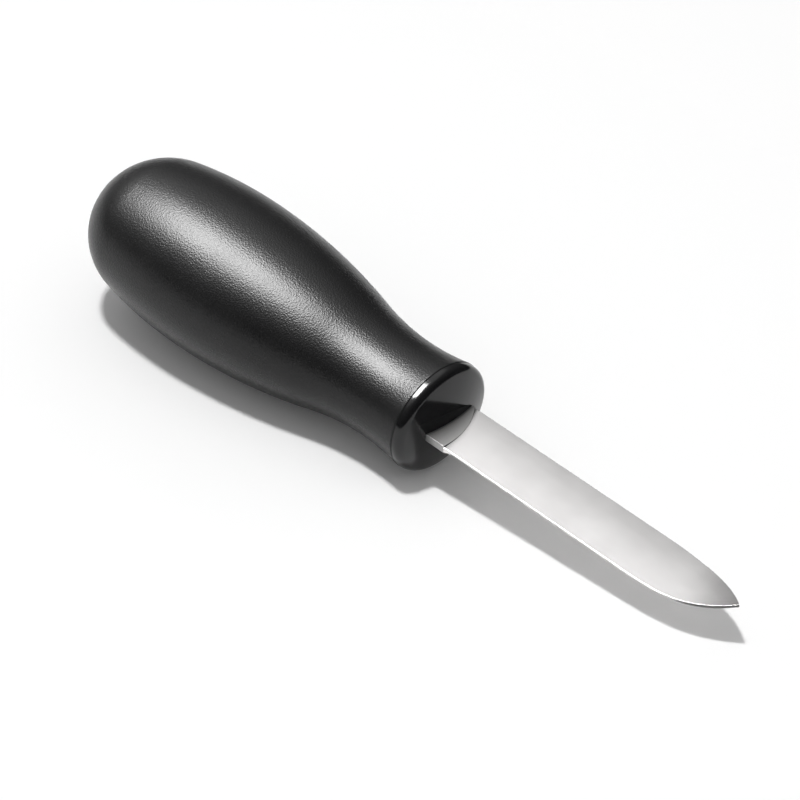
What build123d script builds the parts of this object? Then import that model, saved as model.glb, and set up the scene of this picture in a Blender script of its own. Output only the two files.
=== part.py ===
from build123d import *
from math import acos, asin, atan, atan2, cos, degrees, radians, sin, sqrt, tan
import os

os.makedirs("parts", exist_ok=True)

# An oyster knife: a short, blunt steel blade with an upturned point, held in a plump
# soft grip that is moulded over a hard ribbed core. A glossy cap closes the front.
#
# Every piece is drawn straight first. X runs along the knife, towards the point, and
# starts where the blade leaves the cap. Y runs across the blade and Z through it.
# The blade is drawn on that line, then lifted a little above the handle's middle.
# At the end each piece is laid down as the knife lies on a table.
# Lengths are in millimetres.

# Steel
blade_length = 70.5
blade_width = 12.7
stock_thickness = 1.6
stock_drop = 0.3
middle_thickness = 0.86
edge_thickness = 0.5
neck_of_tip_thickness = 0.82
tip_thickness = 0.6
taper_start_share = 0.704
first_taper_angle = 8.5
tip_half_angle = 41.5
bend_start_share = 0.785
tip_rise = 2.65
blade_lift = 0.65

# The stretch of full-thickness steel next to the cap, and the grinding wheel's run-outs.
# The wheel takes more off the underside, so the stock sits a little low.
ricasso_reach = 4.0
ricasso_arc_radius = 17.0
ricasso_skew = 15.6
upper_runout_length = 0.4
upper_runout_depth = 0.3
lower_runout_length = 3.6
lower_runout_depth = 0.9

# Tang
tang_length = 68.0
tang_width = 9.4
tang_corner = 3.0
shoulder_depth = 5.2
tang_hole_radius = 2.4
first_hole_share = 0.36
second_hole_share = 0.76

# Grip outline: a rear ball, a belly and a waist, all meeting smoothly
skin_length = 90.0
belly_back = 32.2
belly_half_width = 17.75
belly_rear_radius = 100.0
belly_front_radius = 128.0
waist_half_width = 11.35
waist_radius = 53.5
oval_share = 0.927
skin_thickness = 3.2
rest_flat_depth = 0.3

# Front cap
cap_step = 0.15
rim_land = 0.45
rim_rounding = 1.8
face_radius = 33.0
rim_lift = 0.41
sleeve_depth = 6.2
sleeve_half_width = 8.7
slot_clearance = 0.08

# Core
spigot_half_width = 7.3
pocket_length = 11.0
pocket_pitch = 14.0
pocket_width = 6.0
pocket_spread = 9.0
pocket_count = 5
pocket_first_back = 78.0
pocket_corner = 1.2
core_slab_half = 3.4

# The waist arc touches the belly's front arc from outside, and runs on to the seam, where
# the soft skin ends against the cap
belly_rear_drop = belly_rear_radius - belly_half_width
belly_front_drop = belly_front_radius - belly_half_width
waist_centre_height = waist_half_width + waist_radius
centres_apart = belly_front_radius + waist_radius
waist_run = sqrt(centres_apart**2 - (waist_centre_height + belly_front_drop) ** 2)
waist_joint_angle = asin(waist_run / centres_apart)
rim_run = skin_length - belly_back - waist_run
rim_half_width = waist_centre_height - sqrt(waist_radius**2 - rim_run**2)

# The cap stands a hair inside the soft grip all round. Behind its domed face come the
# rounded rim and a narrow straight land, so together they say how far back the seam lies.
cap_half_width = rim_half_width - cap_step
rounding_reach = sqrt(
    (face_radius - rim_rounding) ** 2 - (cap_half_width - rim_rounding) ** 2
)
seam_back = face_radius - rounding_reach + rim_land

# Places along the knife that follow from those sizes
seam_x = -seam_back
sleeve_end_x = seam_x - sleeve_depth
rear_x = seam_x - skin_length
belly_x = rear_x + belly_back
waist_x = belly_x + waist_run

# The ball at the rear has its middle on the axis and touches the belly's rear arc
ball_radius = (belly_rear_radius**2 - belly_back**2 - belly_rear_drop**2) / (
    2 * (belly_rear_radius - belly_back)
)
ball_x = rear_x + ball_radius
ball_joint_angle = atan2(ball_x - belly_x, belly_rear_drop)

# How the knife lies: the soft belly flattens a little on the table and carries the
# weight, and the grip's front rim comes down close to the table. The table's
# line is found as the line that touches the flattened belly's arc and passes just
# outside the rim, then squashed with the oval.
touch_run = seam_x - belly_x
touch_rise = rim_half_width + belly_front_drop
touch_reach = sqrt(touch_run**2 + touch_rise**2)
flattened_radius = belly_front_radius - rest_flat_depth
line_angle = acos((flattened_radius - rim_lift) / touch_reach)
round_tilt = atan2(touch_run, touch_rise) - line_angle
tilt = atan(oval_share * tan(round_tilt))
rim_reach = seam_x * sin(round_tilt) + rim_half_width * cos(round_tilt) + rim_lift
axis_height = oval_share * rim_reach * cos(tilt) / cos(round_tilt)

# The middle of the whole knife's length goes over the frame's origin
rear_reach = sqrt((ball_radius * cos(tilt)) ** 2 + (oval_share * ball_radius * sin(tilt)) ** 2)
rear_end = ball_x * cos(tilt) - rear_reach
tip_height = blade_lift + tip_rise + tip_thickness / 2
front_end = blade_length * cos(tilt) + tip_height * sin(tilt)
lie = Plane(
    origin=(-(rear_end + front_end) / 2, 0, axis_height),
    x_dir=(cos(tilt), 0, -sin(tilt)),
    z_dir=(sin(tilt), 0, cos(tilt)),
)


# Grip outline, inset from the outside by a given depth and squashed to its oval
def handle_form(inset, front_x):
    """A solid turned from the grip's outline, a given depth inside it."""
    rear_arc = belly_rear_radius - inset
    front_arc = belly_front_radius - inset
    waist_arc = waist_radius + inset
    ball_arc = ball_radius - inset
    tail = (ball_x - ball_arc, 0)
    ball_joint = (
        belly_x + rear_arc * sin(ball_joint_angle),
        rear_arc * cos(ball_joint_angle) - belly_rear_drop,
    )
    ball_middle_angle = radians(180) - (radians(90) + ball_joint_angle) / 2
    ball_middle = (
        ball_x + ball_arc * cos(ball_middle_angle),
        ball_arc * sin(ball_middle_angle),
    )
    rear_middle = (
        belly_x + rear_arc * sin(ball_joint_angle / 2),
        rear_arc * cos(ball_joint_angle / 2) - belly_rear_drop,
    )
    crest = (belly_x, belly_half_width - inset)
    front_middle = (
        belly_x + front_arc * sin(waist_joint_angle / 2),
        front_arc * cos(waist_joint_angle / 2) - belly_front_drop,
    )
    waist_joint = (
        belly_x + front_arc * sin(waist_joint_angle),
        front_arc * cos(waist_joint_angle) - belly_front_drop,
    )
    front_angle = asin((front_x - waist_x) / waist_arc)
    waist_middle_angle = (front_angle - waist_joint_angle) / 2
    waist_middle = (
        waist_x + waist_arc * sin(waist_middle_angle),
        waist_centre_height - waist_arc * cos(waist_middle_angle),
    )
    front_top = (front_x, waist_centre_height - waist_arc * cos(front_angle))
    with BuildPart() as form:
        with BuildSketch(Plane.XY):
            with BuildLine():
                ThreePointArc(tail, ball_middle, ball_joint)
                ThreePointArc(ball_joint, rear_middle, crest)
                ThreePointArc(crest, front_middle, waist_joint)
                ThreePointArc(waist_joint, waist_middle, front_top)
                Polyline(front_top, (front_x, 0), tail)
            make_face()
        revolve(axis=Axis.X)
        scale(by=(1, 1, oval_share))
    return form


# Blade
# The outline narrows over two arcs to a point. Their radii follow from the width and
# length they have to cover and the angles at which they start and end.
taper_start = blade_length * taper_start_share
taper_run = blade_length - taper_start
first_turn = radians(first_taper_angle)
last_turn = radians(tip_half_angle)
drop_a = 1 - cos(first_turn)
drop_b = cos(first_turn) - cos(last_turn)
run_a = sin(first_turn)
run_b = sin(last_turn) - sin(first_turn)
taper_system = drop_a * run_b - drop_b * run_a
first_taper_radius = (blade_width / 2 * run_b - drop_b * taper_run) / taper_system
last_taper_radius = (drop_a * taper_run - blade_width / 2 * run_a) / taper_system


def taper_point(turn):
    """The point of the upper taper arcs where the edge has turned by an angle."""
    along = taper_start + first_taper_radius * sin(min(turn, first_turn))
    across = blade_width / 2 - first_taper_radius * (1 - cos(min(turn, first_turn)))
    if turn > first_turn:
        along = along + last_taper_radius * (sin(turn) - sin(first_turn))
        across = across - last_taper_radius * (cos(first_turn) - cos(turn))
    return along, across


def mirrored(point):
    """The same point on the other side of the blade's middle line."""
    return point[0], -point[1]


bend_start = blade_length * bend_start_share
first_mid = taper_point(first_turn / 2)
taper_mid = taper_point(first_turn)
last_mid = taper_point((first_turn + last_turn) / 2)
blade_tip = (blade_length, 0)
half_width = blade_width / 2
root_corner = (-shoulder_depth, half_width)
full_corner = (taper_start, half_width)

# The grinding belt leaves each face slightly rounded across the blade
sag = (middle_thickness - edge_thickness) / 2
face_arc_radius = (half_width**2 + sag**2) / (2 * sag)
belt_half_width = 1.3 * half_width
belt_sag = face_arc_radius - sqrt(face_arc_radius**2 - belt_half_width**2)
belt_height = 3 * stock_thickness
thinning = (middle_thickness - neck_of_tip_thickness) / 2
cut_start = -2 * shoulder_depth
thinning_slope = thinning / bend_start

# What the belt takes off the upper face, along the blade and up around the bend
with BuildPart() as upper_cut:
    with BuildLine(Plane.XZ) as upper_path:
        upper_run = Line(
            (cut_start, middle_thickness / 2 - cut_start * thinning_slope),
            (bend_start, neck_of_tip_thickness / 2),
        )
        upper_bend = TangentArc(
            (bend_start, neck_of_tip_thickness / 2),
            (blade_length, tip_rise + tip_thickness / 2),
            tangent=upper_run % 1,
        )
        Line(upper_bend @ 1, upper_bend @ 1 + (upper_bend % 1) * belt_height)
    with BuildSketch(Plane(upper_path.line @ 0, x_dir=(0, 1, 0), z_dir=upper_path.line % 0)):
        with BuildLine():
            ThreePointArc(
                (-belt_half_width, -belt_sag),
                (0, 0),
                (belt_half_width, -belt_sag),
            )
            Polyline(
                (belt_half_width, -belt_sag),
                (belt_half_width, belt_height),
                (-belt_half_width, belt_height),
                (-belt_half_width, -belt_sag),
            )
        make_face()
    sweep(path=upper_path.line)

# The same on the underside
with BuildPart() as lower_cut:
    with BuildLine(Plane.XZ) as lower_path:
        lower_run = Line(
            (cut_start, -middle_thickness / 2 + cut_start * thinning_slope),
            (bend_start, -neck_of_tip_thickness / 2),
        )
        lower_bend = TangentArc(
            (bend_start, -neck_of_tip_thickness / 2),
            (blade_length, tip_rise - tip_thickness / 2),
            tangent=lower_run % 1,
        )
        Line(lower_bend @ 1, lower_bend @ 1 + (lower_bend % 1) * belt_height)
    with BuildSketch(Plane(lower_path.line @ 0, x_dir=(0, 1, 0), z_dir=lower_path.line % 0)):
        with BuildLine():
            ThreePointArc((-belt_half_width, belt_sag), (0, 0), (belt_half_width, belt_sag))
            Polyline(
                (belt_half_width, belt_sag),
                (belt_half_width, -belt_height),
                (-belt_half_width, -belt_height),
                (-belt_half_width, belt_sag),
            )
        make_face()
    sweep(path=lower_path.line)

# The full-thickness root, with the wheel's round run-outs as its front edge. They reach
# a little into the ground blade.
half_stock = stock_thickness / 2
upper_foot = half_stock - upper_runout_depth
lower_foot = lower_runout_depth - half_stock
upper_end = ricasso_arc_radius + upper_runout_length
lower_end = ricasso_arc_radius + lower_runout_length
with BuildPart() as ricasso:
    with BuildSketch(Plane.XZ):
        with BuildLine():
            TangentArc(
                (upper_end, upper_foot), (ricasso_arc_radius, half_stock), tangent=(-1, 0)
            )
            Polyline((upper_end, upper_foot), (upper_end, lower_foot), (lower_end, lower_foot))
            TangentArc(
                (lower_end, lower_foot), (ricasso_arc_radius, -half_stock), tangent=(-1, 0)
            )
            Polyline(
                (ricasso_arc_radius, -half_stock),
                (0, -half_stock),
                (0, half_stock),
                (ricasso_arc_radius, half_stock),
            )
        make_face()
    revolve(axis=Axis.Z)

with BuildPart() as root_block:
    with Locations(
        (
            ricasso_reach - ricasso_arc_radius,
            -ricasso_arc_radius * sin(radians(ricasso_skew)),
            -stock_drop,
        )
    ):
        add(ricasso.part)
    with BuildSketch(Plane.XY.offset(-stock_thickness)):
        with Locations(((lower_runout_length + ricasso_reach - shoulder_depth) / 2, 0)):
            Rectangle(lower_runout_length + ricasso_reach + shoulder_depth, blade_width)
    extrude(amount=2 * stock_thickness, mode=Mode.INTERSECT)

# The blank is deep enough to hold the upturned tip
with BuildPart() as straight_blade:
    with BuildSketch(Plane.XY.offset(-stock_thickness)):
        with BuildLine():
            Line(root_corner, full_corner)
            ThreePointArc(full_corner, first_mid, taper_mid)
            ThreePointArc(taper_mid, last_mid, blade_tip)
            ThreePointArc(blade_tip, mirrored(last_mid), mirrored(taper_mid))
            ThreePointArc(mirrored(taper_mid), mirrored(first_mid), mirrored(full_corner))
            Polyline(mirrored(full_corner), mirrored(root_corner), root_corner)
        make_face()
    extrude(amount=2 * stock_thickness + tip_rise)
    add(upper_cut.part, mode=Mode.SUBTRACT)
    add(lower_cut.part, mode=Mode.SUBTRACT)
    add(root_block.part)
    with BuildSketch(Plane.XY.offset(-half_stock - stock_drop)):
        with Locations(((-shoulder_depth - tang_length) / 2, 0)):
            Rectangle(tang_length - shoulder_depth, tang_width)
        with Locations((-tang_length * first_hole_share, 0), (-tang_length * second_hole_share, 0)):
            Circle(tang_hole_radius, mode=Mode.SUBTRACT)
    extrude(amount=stock_thickness)
    fillet(straight_blade.edges().filter_by(Axis.Z).group_by(Axis.X)[0], radius=tang_corner)

with BuildPart() as seated_blade:
    with Locations((0, 0, blade_lift)):
        add(straight_blade.part)

# Front cap
# One domed face from side to side, a rounded rim almost as wide as the grip, and a
# sleeve behind that the soft grip closes over.
face_drop = face_radius - sqrt(face_radius**2 - cap_half_width**2)
half_face_drop = face_radius - sqrt(face_radius**2 - (cap_half_width / 2) ** 2)
with BuildPart() as straight_cap:
    with BuildSketch(Plane.XY) as cap_section:
        with BuildLine():
            Polyline((0, 0), (seam_x, 0), (seam_x, cap_half_width), (-face_drop, cap_half_width))
            ThreePointArc(
                (-face_drop, cap_half_width), (-half_face_drop, cap_half_width / 2), (0, 0)
            )
        make_face()
        rim_corner = cap_section.vertices().group_by(Axis.Y)[-1].sort_by(Axis.X)[-1]
        fillet(rim_corner, radius=rim_rounding)
    revolve(axis=Axis.X)
    scale(by=(1, 1, oval_share))
    with BuildSketch(Plane.YZ.offset(seam_x)):
        Circle(sleeve_half_width)
    extrude(amount=-sleeve_depth)
    with BuildSketch(Plane.YZ.offset(sleeve_end_x)):
        Circle(spigot_half_width)
    extrude(amount=sleeve_depth, mode=Mode.SUBTRACT)
    with BuildSketch(Plane.YZ.offset(seam_x)):
        with Locations((0, blade_lift - stock_drop)):
            Rectangle(blade_width + 2 * slot_clearance, stock_thickness + 2 * slot_clearance)
    extrude(amount=2 * seam_back, mode=Mode.SUBTRACT)

# Core
# Hard plastic moulded round the tang. Pockets above and below keep its walls thin and
# give the soft grip something to lock into.
core_form = handle_form(skin_thickness, sleeve_end_x)
with BuildPart() as straight_core:
    add(core_form.part)
    with BuildSketch(Plane.YZ.offset(sleeve_end_x)):
        Circle(spigot_half_width)
    extrude(amount=sleeve_depth)
    pocket_middle_x = -pocket_first_back + pocket_pitch * (pocket_count - 1) / 2
    for side in (1, -1):
        with BuildSketch(Plane.XY.offset(side * core_slab_half)):
            with Locations((pocket_middle_x, 0)):
                with GridLocations(pocket_pitch, pocket_spread, pocket_count, 2):
                    RectangleRounded(pocket_length, pocket_width, pocket_corner)
        extrude(amount=side * belly_half_width, mode=Mode.SUBTRACT)
    add(seated_blade.part, mode=Mode.SUBTRACT)

# Soft grip
# It fills the core's pockets and runs up to the cap's flange.
grip_form = handle_form(0, seam_x)
with BuildPart() as straight_grip:
    add(grip_form.part)
    add(straight_core.part, mode=Mode.SUBTRACT)
    add(straight_cap.part, mode=Mode.SUBTRACT)
    add(seated_blade.part, mode=Mode.SUBTRACT)

# Laid on the table
with BuildPart() as blade:
    with Locations(lie):
        add(seated_blade.part)

with BuildPart() as front_cap:
    with Locations(lie):
        add(straight_cap.part)

with BuildPart() as core:
    with Locations(lie):
        add(straight_core.part)

with BuildPart() as grip:
    with Locations(lie):
        add(straight_grip.part)
    split(bisect_by=Plane.XY)

blade.part.label = "blade"
front_cap.part.label = "front_cap"
core.part.label = "core"
grip.part.label = "grip"

export_step(blade.part, "parts/blade.step")
export_step(front_cap.part, "parts/front_cap.step")
export_step(core.part, "parts/core.step")
export_step(grip.part, "parts/grip.step")

print("tilt", round(degrees(tilt), 3), "axis height", round(axis_height, 3))
for piece in (blade, front_cap, core, grip):
    box = piece.part.bounding_box()
    print(piece.part.label, len(piece.part.solids()), round(piece.part.volume, 1), box.min, box.max)
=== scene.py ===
# %% [markdown]
# An oyster knife lies on a white table: a short blunt blade with an upturned point,
# a glossy cap, and a plump handle of soft black rubber. This file dresses the packed
# solids, which come in as a fixed frame. It is read from top to bottom, cell by cell.

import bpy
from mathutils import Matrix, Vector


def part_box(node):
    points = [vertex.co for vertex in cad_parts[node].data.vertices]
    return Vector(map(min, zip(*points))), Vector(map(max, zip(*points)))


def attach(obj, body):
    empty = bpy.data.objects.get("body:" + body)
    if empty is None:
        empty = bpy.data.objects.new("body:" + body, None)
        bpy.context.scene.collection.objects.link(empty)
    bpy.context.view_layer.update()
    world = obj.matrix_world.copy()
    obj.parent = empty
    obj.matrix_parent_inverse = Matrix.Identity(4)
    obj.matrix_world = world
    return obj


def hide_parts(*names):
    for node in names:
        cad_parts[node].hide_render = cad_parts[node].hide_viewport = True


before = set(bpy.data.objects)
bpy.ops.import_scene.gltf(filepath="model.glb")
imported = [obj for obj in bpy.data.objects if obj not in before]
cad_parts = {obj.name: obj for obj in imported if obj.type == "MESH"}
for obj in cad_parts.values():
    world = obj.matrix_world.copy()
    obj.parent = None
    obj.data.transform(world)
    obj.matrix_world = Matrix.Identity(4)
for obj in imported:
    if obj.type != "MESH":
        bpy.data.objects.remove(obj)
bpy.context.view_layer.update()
print("solids in the frame:", sorted(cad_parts))

# %% [markdown]
# Every length below is written in millimetres, as on a maker's drawing, and turned
# into Blender's metres by one factor.

# %% Units
import bpy
from math import acos, asin, atan, atan2, cos, degrees, hypot, pi, radians, sin, sqrt, tan
from mathutils import Matrix, Vector

MM = 0.001
print("a millimetre is", MM, "of a Blender unit")

# %% [markdown]
# The handle's outline is a chain of four arcs that meet smoothly: a ball at the rear,
# two long arcs over the belly, and a hollow waist that flares out to the front rim.
# A spline through points would do, but arcs give a fair curve with few numbers, and
# they are the same arcs as the solid's.

# %% The outline's sizes
skin_length = 90.0 * MM
belly_back = 32.2 * MM
belly_half_width = 17.75 * MM
belly_rear_radius = 100.0 * MM
belly_front_radius = 128.0 * MM
waist_half_width = 11.35 * MM
waist_radius = 53.5 * MM
oval_share = 0.927
rest_flat_depth = 0.3 * MM
cap_step = 0.15 * MM
rim_land = 0.45 * MM
rim_rounding = 1.8 * MM
face_radius = 33.0 * MM
rim_lift = 0.41 * MM
print("skin length", round(skin_length / MM, 1), "mm")
print("belly width", round(2 * belly_half_width / MM, 1), "mm")

# %% The arcs' centres
belly_rear_drop = belly_rear_radius - belly_half_width
belly_front_drop = belly_front_radius - belly_half_width
waist_centre_height = waist_half_width + waist_radius
centres_apart = belly_front_radius + waist_radius
waist_run = sqrt(centres_apart**2 - (waist_centre_height + belly_front_drop) ** 2)
waist_joint_angle = asin(waist_run / centres_apart)
rim_run = skin_length - belly_back - waist_run
rim_half_width = waist_centre_height - sqrt(waist_radius**2 - rim_run**2)
rounding_reach = sqrt(
    (face_radius - rim_rounding) ** 2 - (rim_half_width - cap_step - rim_rounding) ** 2
)
seam_x = rounding_reach - face_radius - rim_land
belly_x = seam_x - skin_length + belly_back
waist_x = belly_x + waist_run
ball_radius = (belly_rear_radius**2 - belly_back**2 - belly_rear_drop**2) / (
    2 * (belly_rear_radius - belly_back)
)
ball_x = seam_x - skin_length + ball_radius
ball_joint_angle = atan2(ball_x - belly_x, belly_rear_drop)
print("the seam lies", round(-seam_x / MM, 2), "mm behind the cap's face")
print("rear ball radius", round(ball_radius / MM, 2), "mm")
print("rim half width", round(rim_half_width / MM, 2), "mm")

# %% [markdown]
# The knife rests on its belly and leans forward until the handle's front rim comes
# close to the table, so it lies a few degrees nose-down. The table's line runs a little
# inside the belly, because the soft skin gives there, and just outside the rim. The
# grip is drawn straight, along X, and one helper lays each point down on the table.

# %% Laying a point down
touch_run = seam_x - belly_x
touch_rise = rim_half_width + belly_front_drop
flattened_radius = belly_front_radius - rest_flat_depth
line_angle = acos((flattened_radius - rim_lift) / hypot(touch_run, touch_rise))
round_tilt = atan2(touch_run, touch_rise) - line_angle
tilt = atan(oval_share * tan(round_tilt))
rim_reach = seam_x * sin(round_tilt) + rim_half_width * cos(round_tilt) + rim_lift
axis_height = oval_share * rim_reach * cos(tilt) / cos(round_tilt)
rear_reach = hypot(ball_radius * cos(tilt), oval_share * ball_radius * sin(tilt))
root_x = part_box("grip")[0].x - (ball_x * cos(tilt) - rear_reach)


def laid(x, y, z):
    """A point of the straight knife, where it is once the knife lies on the table."""
    along = root_x + x * cos(tilt) + z * sin(tilt)
    height = axis_height - x * sin(tilt) + z * cos(tilt)
    return Vector((along, y, height))


print("tilt", round(degrees(tilt), 2), "degrees")
print("the blade leaves the cap at x", round(root_x / MM, 2), "mm")

# %% [markdown]
# The soft grip is one skin moulded over the hard core. On a lathe-turned shape like
# this each station is an oval ring, so the mesh is a stack of rings, joined by quads.
# A subdivision surface round a coarse cage would pull in from the arcs, so the rings
# are set close together and lie on the arcs themselves. Points under the table's top
# come up to it, which makes the small flat that the knife rests on.

# %% Rings into a mesh
RING_STEPS = 180


def show(name, data):
    """A new object in the scene that holds a mesh, a lamp or a camera."""
    holder = bpy.data.objects.new(name, data)
    bpy.context.scene.collection.objects.link(holder)
    return holder


def skin_of_rings(name, rings):
    """A mesh through oval rings, each given by its place, half width and half height."""
    points = []
    for x, half_width, half_height in rings:
        for step in range(RING_STEPS):
            turn = 2 * pi * step / RING_STEPS
            point = laid(x, half_width * cos(turn), half_height * sin(turn))
            point.z = max(point.z, 0)
            points.append(point)
    faces = []
    for near_row in range(0, len(points) - RING_STEPS, RING_STEPS):
        far_row = near_row + RING_STEPS
        for step in range(RING_STEPS):
            after = (step + 1) % RING_STEPS
            faces.append((near_row + step, near_row + after, far_row + after, far_row + step))
    mesh = bpy.data.meshes.new(name)
    mesh.from_pydata(points, [], faces)
    mesh.update()
    return show(name, mesh)


# %% Stations on an arc
def arc_stations(centre_x, centre_r, radius, first, last, count):
    """Rings along an arc, by the angle that its outward normal makes with the radial.
    A negative radius is a hollow arc, whose centre lies outside the piece."""
    stations = []
    for step in range(count + 1):
        normal = first + (last - first) * step / count
        reach = centre_r + radius * cos(normal)
        stations.append((centre_x + radius * sin(normal), reach, reach * oval_share))
    return stations


# %% [markdown]
# The skin starts at the tail, runs forward over belly and waist, and ends in a small
# rounded lip. The lip and the cap's edge together make the fine dark seam line that
# the eye reads as two materials. Behind the lip the skin turns in to the cap's sleeve
# and back along the core, so it is a real shell, 3.2 mm thick, and not a full body.
# The first ring stands just short of the very tail, where a ring would shrink to a
# point. The inside keeps a hair's breadth off the sleeve and the core, so that no two
# faces lie in the same place and flicker.

# %% The handle's outline as stations
tail_start = -radians(89.6)


def handle_stations(inset, last_normal, counts):
    """Rings of the handle's outline, a given depth inside it."""
    ball_count, rear_count, front_count, waist_count = counts
    rear_radius = belly_rear_radius - inset
    front_radius = belly_front_radius - inset
    hollow_radius = -(waist_radius + inset)
    arcs = (
        (ball_x, 0, ball_radius - inset, tail_start, ball_joint_angle, ball_count),
        (belly_x, -belly_rear_drop, rear_radius, ball_joint_angle, 0, rear_count),
        (belly_x, -belly_front_drop, front_radius, 0, waist_joint_angle, front_count),
        (waist_x, waist_centre_height, hollow_radius, waist_joint_angle, last_normal, waist_count),
    )
    rings = arc_stations(*arcs[0])
    for arc in arcs[1:]:
        rings += arc_stations(*arc)[1:]
    return rings


# %% The grip's rings
skin_thickness = 3.2 * MM
lip_radius = 0.32 * MM
sleeve_depth = 6.2 * MM
sleeve_half_width = 8.7 * MM
hidden_gap = 0.03 * MM
outside_counts = (40, 26, 40, 40)
inside_counts = (20, 12, 20, 20)
lip_count = 8

lip_x = seam_x - lip_radius
lip_normal = -asin((lip_x - waist_x) / (waist_radius + lip_radius))
lip_r = waist_centre_height - (waist_radius + lip_radius) * cos(lip_normal)
outside = handle_stations(0, lip_normal, outside_counts)
lip = arc_stations(lip_x, lip_r, lip_radius, lip_normal, pi / 2, lip_count)[1:]
bore = sleeve_half_width + hidden_gap
sleeve_end_x = seam_x - sleeve_depth
sleeve_wall = [(seam_x, bore, bore), (sleeve_end_x, bore, bore)]
inner_normal = -asin((sleeve_end_x - waist_x) / (waist_radius + skin_thickness))
inside = handle_stations(skin_thickness - hidden_gap, inner_normal, inside_counts)
soft_grip = skin_of_rings("soft_grip", outside + lip + sleeve_wall + inside[::-1])
print("soft grip:", len(soft_grip.data.vertices), "points")

# %% [markdown]
# The stack of rings is still open at the very tail, outside and inside. Each hole is
# filled with one small face. The whole skin is then shaded smooth, but for the real
# edges at the sleeve, which stay crisp.

# %% Closing the two tails
import bmesh

crisp_angle = radians(40)


def close_ends(piece):
    """Fills the two small holes that are left at the ends of a stack of rings."""
    work = bmesh.new()
    work.from_mesh(piece.data)
    open_edges = [edge for edge in work.edges if edge.is_boundary]
    bmesh.ops.holes_fill(work, edges=open_edges, sides=0)
    bmesh.ops.recalc_face_normals(work, faces=work.faces)
    work.to_mesh(piece.data)
    work.free()


close_ends(soft_grip)
soft_grip.data.shade_smooth()
soft_grip.data.set_sharp_from_angle(angle=crisp_angle)
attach(soft_grip, "root")
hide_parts("grip")
print("soft grip, closed:", len(soft_grip.data.polygons), "faces")

# %% [markdown]
# A finish is a small network of nodes. These helpers keep the cells short. The first
# ones start a material, add a node and give a pattern of a real size.

# %% Finish helpers: starting a network
def start_finish(name):
    """A new material, its node tree and its shader."""
    finish = bpy.data.materials.new(name)
    finish.use_nodes = True
    return finish, finish.node_tree, finish.node_tree.nodes["Principled BSDF"]


def add_node(tree, kind, **settings):
    """A node of a kind, with its properties set."""
    node = tree.nodes.new(kind)
    for setting, value in settings.items():
        setattr(node, setting, value)
    return node


def object_place(tree):
    """The surface point in the object's own space, in metres."""
    return add_node(tree, "ShaderNodeTexCoord").outputs["Object"]


def grain(tree, place, size, detail=2.0):
    """Noise whose blotches are about a given size across."""
    noise = add_node(tree, "ShaderNodeTexNoise")
    noise.inputs["Scale"].default_value = 1 / size
    noise.inputs["Detail"].default_value = detail
    tree.links.new(place, noise.inputs["Vector"])
    return noise.outputs["Fac"]


# %% [markdown]
# The next ones do sums with numbers and with vectors. Noise seldom leaves the middle of
# its range, so it is stretched from there. Then come mixed colours and bumps, and the
# last helper puts the finish on.

# %% Finish helpers: sums
NOISE_RANGE = (0.3, 0.7)


def spread(tree, value, from_range, to_range):
    """A value carried from one range to another."""
    remap = add_node(tree, "ShaderNodeMapRange")
    for socket, number in zip(remap.inputs[1:5], from_range + to_range):
        socket.default_value = number
    tree.links.new(value, remap.inputs["Value"])
    return remap.outputs["Result"]


def combine(tree, operation, first, second, **settings):
    """One number from two, such as their sum or the larger of them."""
    sums = add_node(tree, "ShaderNodeMath", operation=operation, **settings)
    tree.links.new(first, sums.inputs[0])
    tree.links.new(second, sums.inputs[1])
    return sums.outputs["Value"]


def vector_sum(tree, operation, vector, fixed=None, result="Vector"):
    """A vector less, times or dotted with a fixed one, or its length."""
    sums = add_node(tree, "ShaderNodeVectorMath", operation=operation)
    tree.links.new(vector, sums.inputs[0])
    if fixed is not None:
        sums.inputs[1].default_value = fixed
    return sums.outputs[result]


# %% Finish helpers: colours and bumps
def blend_colours(tree, amount, first, second):
    """Two colours mixed by an amount from 0 to 1. The first may come from a node."""
    mix = add_node(tree, "ShaderNodeMix", data_type="RGBA")
    if isinstance(first, tuple):
        mix.inputs["A"].default_value = (*first, 1)
    else:
        tree.links.new(first, mix.inputs["A"])
    mix.inputs["B"].default_value = (*second, 1)
    tree.links.new(amount, mix.inputs["Factor"])
    return mix.outputs["Result"]


def raise_bumps(tree, height, depth, strength=1.0, before=None):
    """A bump of a real depth, over an earlier one if there is one."""
    bump = add_node(tree, "ShaderNodeBump")
    bump.inputs["Distance"].default_value = depth
    bump.inputs["Strength"].default_value = strength
    tree.links.new(height, bump.inputs["Height"])
    if before is not None:
        tree.links.new(before, bump.inputs["Normal"])
    return bump.outputs["Normal"]


def wear(piece, finish):
    """The piece takes one finish all over."""
    piece.data.materials.clear()
    piece.data.materials.append(finish)
    print(piece.name, "wears", finish.name, "of", len(finish.node_tree.nodes), "nodes")


# %% [markdown]
# Soft black rubber is nearly black and has a fine pebbled grain, moulded in so that
# wet hands hold it. The grain breaks up the long highlight into tiny glints. Colour
# alone would look like paint, so the grain goes into bump and roughness as well. The
# colour is darker in the hollows between the pebbles than on their tops: painted shade.

# %% Soft black rubber
pebble_size = 0.3 * MM
pebble_depth = 0.028 * MM
pebble_edge = 0.6
blotch_size = 9.0 * MM
rubber_shine = 0.3
rubber_roughness = (0.22, 0.25)
hollow_roughness = 0.12
# The black between the pebbles is darker: painted shade in the hollows.
shaded_hollow_black = (0.004, 0.004, 0.0042)
pebble_tops = (0.011, 0.011, 0.0115)

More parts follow.
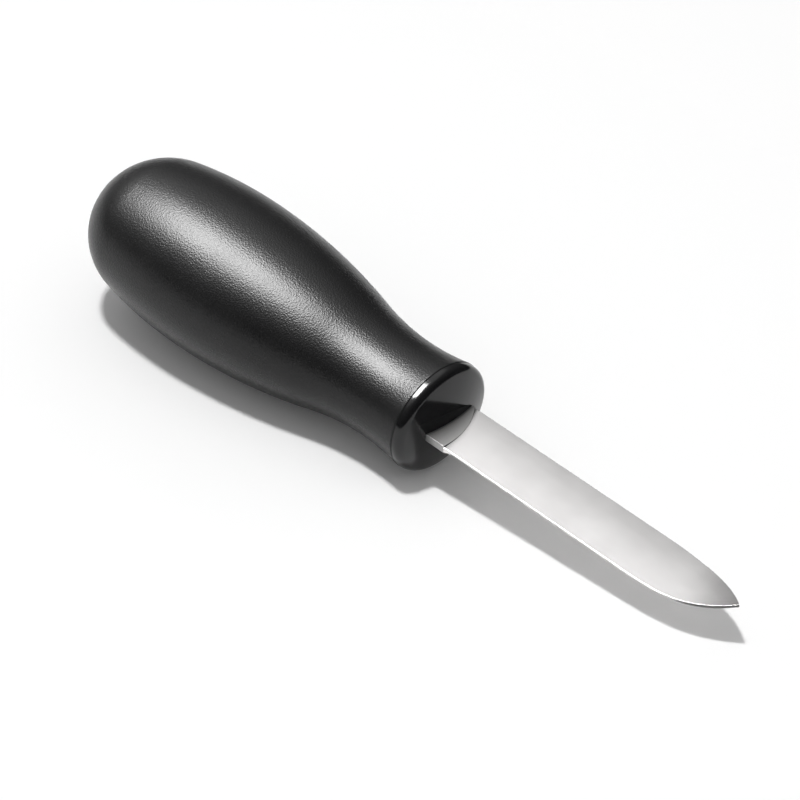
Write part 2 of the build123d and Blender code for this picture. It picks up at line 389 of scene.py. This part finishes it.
soft_black, tree, shader = start_finish("soft_black_rubber")
place = object_place(tree)
pebble_cells = add_node(tree, "ShaderNodeTexVoronoi", feature="SMOOTH_F1")
pebble_cells.inputs["Scale"].default_value = 1 / pebble_size
tree.links.new(place, pebble_cells.inputs["Vector"])
pebbles = spread(tree, pebble_cells.outputs["Distance"], (0, pebble_edge), (1, 0))
# Darker in the hollows and lighter on the tops: painted shade between the pebbles.
colour = blend_colours(tree, pebbles, shaded_hollow_black, pebble_tops)
tree.links.new(colour, shader.inputs["Base Color"])
blotches = grain(tree, place, blotch_size)
uneven = spread(tree, blotches, NOISE_RANGE, rubber_roughness)
rougher_hollows = spread(tree, pebbles, (0, 1), (hollow_roughness, 0))
roughness = combine(tree, "ADD", uneven, rougher_hollows)
tree.links.new(roughness, shader.inputs["Roughness"])
tree.links.new(raise_bumps(tree, pebbles, pebble_depth), shader.inputs["Normal"])
shader.inputs["Specular IOR Level"].default_value = rubber_shine
wear(soft_grip, soft_black)

# %% [markdown]
# The front cap is hard black plastic from a polished mould. Its shape is right in the
# solid already, so only the finish is made here: a clear gloss with the faint swell
# that moulded plastic has, and a little fine dust in the colour.

# %% Glossy black plastic
swell_size = 3.0 * MM
swell_depth = 0.02 * MM
dust_size = 0.25 * MM
plastic_shine = 0.45
plastic_roughness = (0.1, 0.16)
clean_black = (0.004, 0.004, 0.0045)
dusty_black = (0.008, 0.008, 0.0085)

gloss_black, tree, shader = start_finish("glossy_black_plastic")
place = object_place(tree)
swell = grain(tree, place, swell_size)
dust = grain(tree, place, dust_size, detail=4.0)
colour = blend_colours(tree, dust, clean_black, dusty_black)
tree.links.new(colour, shader.inputs["Base Color"])
roughness = spread(tree, swell, NOISE_RANGE, plastic_roughness)
tree.links.new(roughness, shader.inputs["Roughness"])
tree.links.new(raise_bumps(tree, swell, swell_depth, strength=0.15), shader.inputs["Normal"])
shader.inputs["Specular IOR Level"].default_value = plastic_shine
wear(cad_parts["front_cap"], gloss_black)

# %% [markdown]
# The hidden core is plain moulded plastic. It doesn't show unless the knife is taken
# apart, but it still gets a finish of its own: matt black with the mould's fine texture.

# %% Plain black plastic
texture_size = 0.5 * MM
texture_depth = 0.05 * MM
core_roughness = (0.5, 0.62)
dark_spots = (0.022, 0.022, 0.023)
pale_spots = (0.036, 0.036, 0.038)

core_plastic, tree, shader = start_finish("plain_black_plastic")
place = object_place(tree)
texture = grain(tree, place, texture_size, detail=3.0)
colour = blend_colours(tree, texture, dark_spots, pale_spots)
tree.links.new(colour, shader.inputs["Base Color"])
roughness = spread(tree, texture, NOISE_RANGE, core_roughness)
tree.links.new(roughness, shader.inputs["Roughness"])
tree.links.new(raise_bumps(tree, texture, texture_depth, strength=0.3), shader.inputs["Normal"])
wear(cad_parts["core"], core_plastic)

# %% [markdown]
# The blade is stainless steel, ground and then lightly polished, so it is a soft
# mirror: it shows the bright studio without any sharp image. The grinding leaves very
# fine lines across the blade, which are noise stretched in one direction. Slow clouds
# vary the polish, as a hand at the wheel does.

# %% The steel's two patterns
line_size = 0.12 * MM
cloud_size = 6.0 * MM
stretched_across = (1, 0.04, 0.04)

ground_steel, tree, shader = start_finish("ground_steel")
place = object_place(tree)
stretch = add_node(tree, "ShaderNodeMapping")
stretch.inputs["Scale"].default_value = stretched_across
tree.links.new(place, stretch.inputs["Vector"])
lines = grain(tree, stretch.outputs["Vector"], line_size, detail=3.0)
clouds = grain(tree, place, cloud_size, detail=3.0)
print("grinding lines about", round(line_size / MM, 2), "mm apart")

# %% [markdown]
# The wheel didn't reach the round patch next to the cap: it is the sheet's own dull skin,
# rougher and greyer. The edge round the point is made rougher and painted dark: painted
# shade, a painted reflection of the shaded table beneath it. The patch is found by its
# distance from the wheel's centre, measured along the blade. The edge is found by which
# way it faces.

# %% The dull patch and the painted dark edge
ricasso_reach = 4.0 * MM
ricasso_arc_radius = 17.0 * MM
ricasso_skew = radians(15.6)
patch_fade = 0.1 * MM
faces_forward = (0.1, 0.3)

arc_drop = ricasso_arc_radius * sin(ricasso_skew)
wheel_centre = laid(ricasso_reach - ricasso_arc_radius, -arc_drop, 0)
from_wheel = vector_sum(tree, "SUBTRACT", place, wheel_centre)
along_blade = vector_sum(tree, "MULTIPLY", from_wheel, (1 / cos(tilt), 1, 0))
wheel_distance = vector_sum(tree, "LENGTH", along_blade, result="Value")
patch_edge = (ricasso_arc_radius, ricasso_arc_radius + patch_fade)
patch = spread(tree, wheel_distance, patch_edge, (1, 0))
facing = add_node(tree, "ShaderNodeSeparateXYZ")
surface_normal = add_node(tree, "ShaderNodeNewGeometry").outputs["True Normal"]
tree.links.new(surface_normal, facing.inputs["Vector"])
# The forward-facing edge round the point: this mask carries painted shade, a painted reflection of
# the shaded table.
painted_dark_edge = spread(tree, facing.outputs["X"], faces_forward, (0, 1))
dull = combine(tree, "MAXIMUM", patch, painted_dark_edge)
print("wheel centre at x", round(wheel_centre.x / MM, 2), "mm")

# %% [markdown]
# The colours go on in order: first the polish, then the grey of the patch, then the
# painted dark of the edge round the point, a painted reflection of the shaded table. The
# blade's edges are blunt and a little worn, so the shader rounds them by a small radius,
# and the grinding lines lie over that.

# %% Ground steel
polish_low = (0.79, 0.775, 0.77)
polish_high = (0.93, 0.915, 0.91)
patch_grey = (0.4, 0.396, 0.392)
# A painted dark grey for the edge round the point: a painted reflection of the shaded table.
painted_edge_shade = (0.14, 0.138, 0.136)
steel_roughness = (0.15, 0.22)
dull_roughness = 0.38
line_depth = 0.004 * MM
worn_radius = 0.07 * MM

polished = blend_colours(tree, clouds, polish_low, polish_high)
greyed = blend_colours(tree, patch, polished, patch_grey)
# The edge round the point is painted dark here: painted shade for the shaded table it reflects.
darkened = blend_colours(tree, painted_dark_edge, greyed, painted_edge_shade)
tree.links.new(darkened, shader.inputs["Base Color"])
shader.inputs["Metallic"].default_value = 1.0
rougher = add_node(tree, "ShaderNodeMix")
rougher.inputs["B"].default_value = dull_roughness
tree.links.new(spread(tree, clouds, NOISE_RANGE, steel_roughness), rougher.inputs["A"])
tree.links.new(dull, rougher.inputs["Factor"])
tree.links.new(rougher.outputs["Result"], shader.inputs["Roughness"])
worn_edges = add_node(tree, "ShaderNodeBevel", samples=8)
worn_edges.inputs["Radius"].default_value = worn_radius
relief = raise_bumps(tree, lines, line_depth, strength=0.3, before=worn_edges.outputs["Normal"])
tree.links.new(relief, shader.inputs["Normal"])
wear(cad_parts["blade"], ground_steel)

# %% [markdown]
# The table is a broad white sheet. Its colour is white round the knife and is painted to a
# soft grey far away: painted shade, standing in for the light falling off in a larger room.
# A plain matt shader is enough, for a sheen would show the lamps beside the knife.

# %% The table
table_reach = 3.0
table_sides = 64
painted_falloff_distance = (0.3, 1.2)
lit_white = (1, 1, 1)
# Grey painted on the far table: painted shade for the light's falloff.
painted_far_shade = (0.4, 0.4, 0.4)

table_turns = [2 * pi * side / table_sides for side in range(table_sides)]
table_edge = [(table_reach * cos(turn), table_reach * sin(turn), 0) for turn in table_turns]
table_mesh = bpy.data.meshes.new("table")
table_mesh.from_pydata(table_edge, [], [tuple(range(table_sides))])
table = show("table", table_mesh)
white_sheet, tree, shader = start_finish("white_sheet")
matt_white = add_node(tree, "ShaderNodeBsdfDiffuse")
tree.links.new(matt_white.outputs["BSDF"], tree.nodes["Material Output"].inputs["Surface"])
tree.nodes.remove(shader)
distance = vector_sum(tree, "LENGTH", object_place(tree), result="Value")
# The colour fades from white to grey with distance: a painted pool of light round the knife.
fade = spread(tree, distance, painted_falloff_distance, (0, 1))
tree.links.new(blend_colours(tree, fade, lit_white, painted_far_shade), matt_white.inputs["Color"])
wear(table, white_sheet)

# %% [markdown]
# The light is a plain studio. A small lamp high above lights the knife and the table
# evenly and throws the short crisp shadow. Its own glint would be a hard dot, so it is
# kept out of reflections. Its power is worked out from a share: how much of full white
# it gives to a white sheet under it.

# %% The lamp overhead
overhead_share = 0.62
overhead_place = Vector((-0.104, -0.162, 1.328))
overhead_size = 0.07


def add_lamp(name, kind, **settings):
    """A lamp with its settings."""
    lamp = bpy.data.lights.new(name, kind)
    for setting, value in settings.items():
        setattr(lamp, setting, value)
    return show(name, lamp)


overhead = add_lamp(
    "overhead_lamp",
    "POINT",
    shadow_soft_size=overhead_size,
    energy=4 * pi * pi * overhead_share * overhead_place.z**2,
)
overhead.location = overhead_place
overhead.visible_glossy = False
print("overhead lamp", round(overhead.data.energy, 1), "W")

# %% [markdown]
# A long soft box over the handle is there for reflections alone, and lays the broad
# highlight along it without making anything paler. It is turned so that its long side
# follows the knife and its face looks at the place where the knife lies.

# %% The soft box
soft_box_share = 3.9
soft_box_way = Vector((-0.35, -0.19, 0.85)).normalized()
soft_box_distance = 1.0
soft_box_length = 0.75
soft_box_width = 0.5


def stand(holder, place, right, up, back):
    """Stands a lamp or a camera at a place, turned by its own three directions."""
    turned = Matrix((right, up, back)).transposed().to_4x4()
    holder.matrix_world = Matrix.Translation(place) @ turned


soft_box = add_lamp(
    "soft_box",
    "AREA",
    shape="RECTANGLE",
    size=soft_box_length,
    size_y=soft_box_width,
    energy=pi * pi * soft_box_share * soft_box_distance**2,
)
soft_box_long = (Vector((1, 0, 0)) - soft_box_way * soft_box_way.x).normalized()
soft_box_side = soft_box_way.cross(soft_box_long)
soft_box_place = soft_box_way * soft_box_distance
stand(soft_box, soft_box_place, soft_box_long, soft_box_side, soft_box_way)
soft_box.visible_diffuse = False
print("soft box", round(soft_box.data.energy, 1), "W, seen in reflections only")

# %% [markdown]
# The room is bright overhead and dim low down, which the steel shows. A ramp of greys
# goes from the dim walls to the bright ceiling. Camera, mirror and glass rays see that
# room. All other rays get an even fill, so the room's look doesn't change the light.

# %% The room
fill_share = 0.42
brightest_way = (-0.5, 0, 1)
room_shades = (
    (0.2, 0.03),
    (0.65, 0.18),
    (0.79, 0.35),
    (0.86, 0.74),
    (0.95, 1.0),
)

room = bpy.data.worlds.new("room")
bpy.context.scene.world = room
room.use_nodes = True
tree = room.node_tree
tree.nodes.clear()
way = add_node(tree, "ShaderNodeTexCoord").outputs["Generated"]
height = vector_sum(tree, "DOT_PRODUCT", way, brightest_way, result="Value")
shades = add_node(tree, "ShaderNodeValToRGB")
tree.links.new(height, shades.inputs["Fac"])
ramp = shades.color_ramp
ramp.elements[0].position, ramp.elements[1].position = room_shades[0][0], room_shades[-1][0]
for stop_height, shade in room_shades[1:-1]:
    ramp.elements.new(stop_height)
for stop, (stop_height, shade) in zip(ramp.elements, room_shades):
    stop.color = (shade, shade, shade, 1)
print("the room has", len(ramp.elements), "shades of grey")

# %% Who sees the room
rays = add_node(tree, "ShaderNodeLightPath").outputs
seen = combine(tree, "ADD", rays["Is Camera Ray"], rays["Is Glossy Ray"], use_clamp=True)
seen = combine(tree, "ADD", seen, rays["Is Transmission Ray"], use_clamp=True)
shown = add_node(tree, "ShaderNodeBackground")
tree.links.new(shades.outputs["Color"], shown.inputs["Color"])
fill = add_node(tree, "ShaderNodeBackground")
fill.inputs["Color"].default_value = (1, 1, 1, 1)
fill.inputs["Strength"].default_value = fill_share
both = add_node(tree, "ShaderNodeMixShader")
tree.links.new(seen, both.inputs["Fac"])
tree.links.new(fill.outputs["Background"], both.inputs[1])
tree.links.new(shown.outputs["Background"], both.inputs[2])
world_out = add_node(tree, "ShaderNodeOutputWorld")
tree.links.new(both.outputs["Shader"], world_out.inputs["Surface"])
print("level of light on a white sheet:", round(overhead_share + fill_share, 2))

# %% [markdown]
# The camera looks down at the knife from the near side, from far away with a long
# lens, so that the blade's edges stay almost parallel. Its aim is given as a small
# step sideways and up from the place where the blade leaves the cap, and it leans
# half a degree to one side, as a camera held by hand does.

# %% Which way the camera looks
view_azimuth = radians(43.437)
view_elevation = radians(37.095)
view_roll = radians(0.595)

away_level = Vector((-sin(view_azimuth), cos(view_azimuth), 0))
right_level = Vector((cos(view_azimuth), sin(view_azimuth), 0))
ahead = away_level * cos(view_elevation) - Vector((0, 0, sin(view_elevation)))
upright = away_level * sin(view_elevation) + Vector((0, 0, cos(view_elevation)))
right = right_level * cos(view_roll) + upright * sin(view_roll)
upward = upright * cos(view_roll) - right_level * sin(view_roll)
print("the camera looks along", [round(c, 3) for c in ahead])

# %% The camera
view_distance = 667.2 * MM
aim_right = -9.61 * MM
aim_up = 13.99 * MM
sensor_width = 36.0
focal_share = 4.3629

camera_data = bpy.data.cameras.new("camera")
camera_data.sensor_width = sensor_width
camera_data.lens = sensor_width * focal_share
camera = show("camera", camera_data)
aim = Vector((root_x, 0, 0)) + right * aim_right + upward * aim_up
camera_place = aim - ahead * view_distance
stand(camera, camera_place, right, upward, -ahead)
bpy.context.scene.camera = camera
bpy.context.scene.view_settings.view_transform = "Standard"
print("camera at", [round(c / MM) for c in camera_place], "mm")
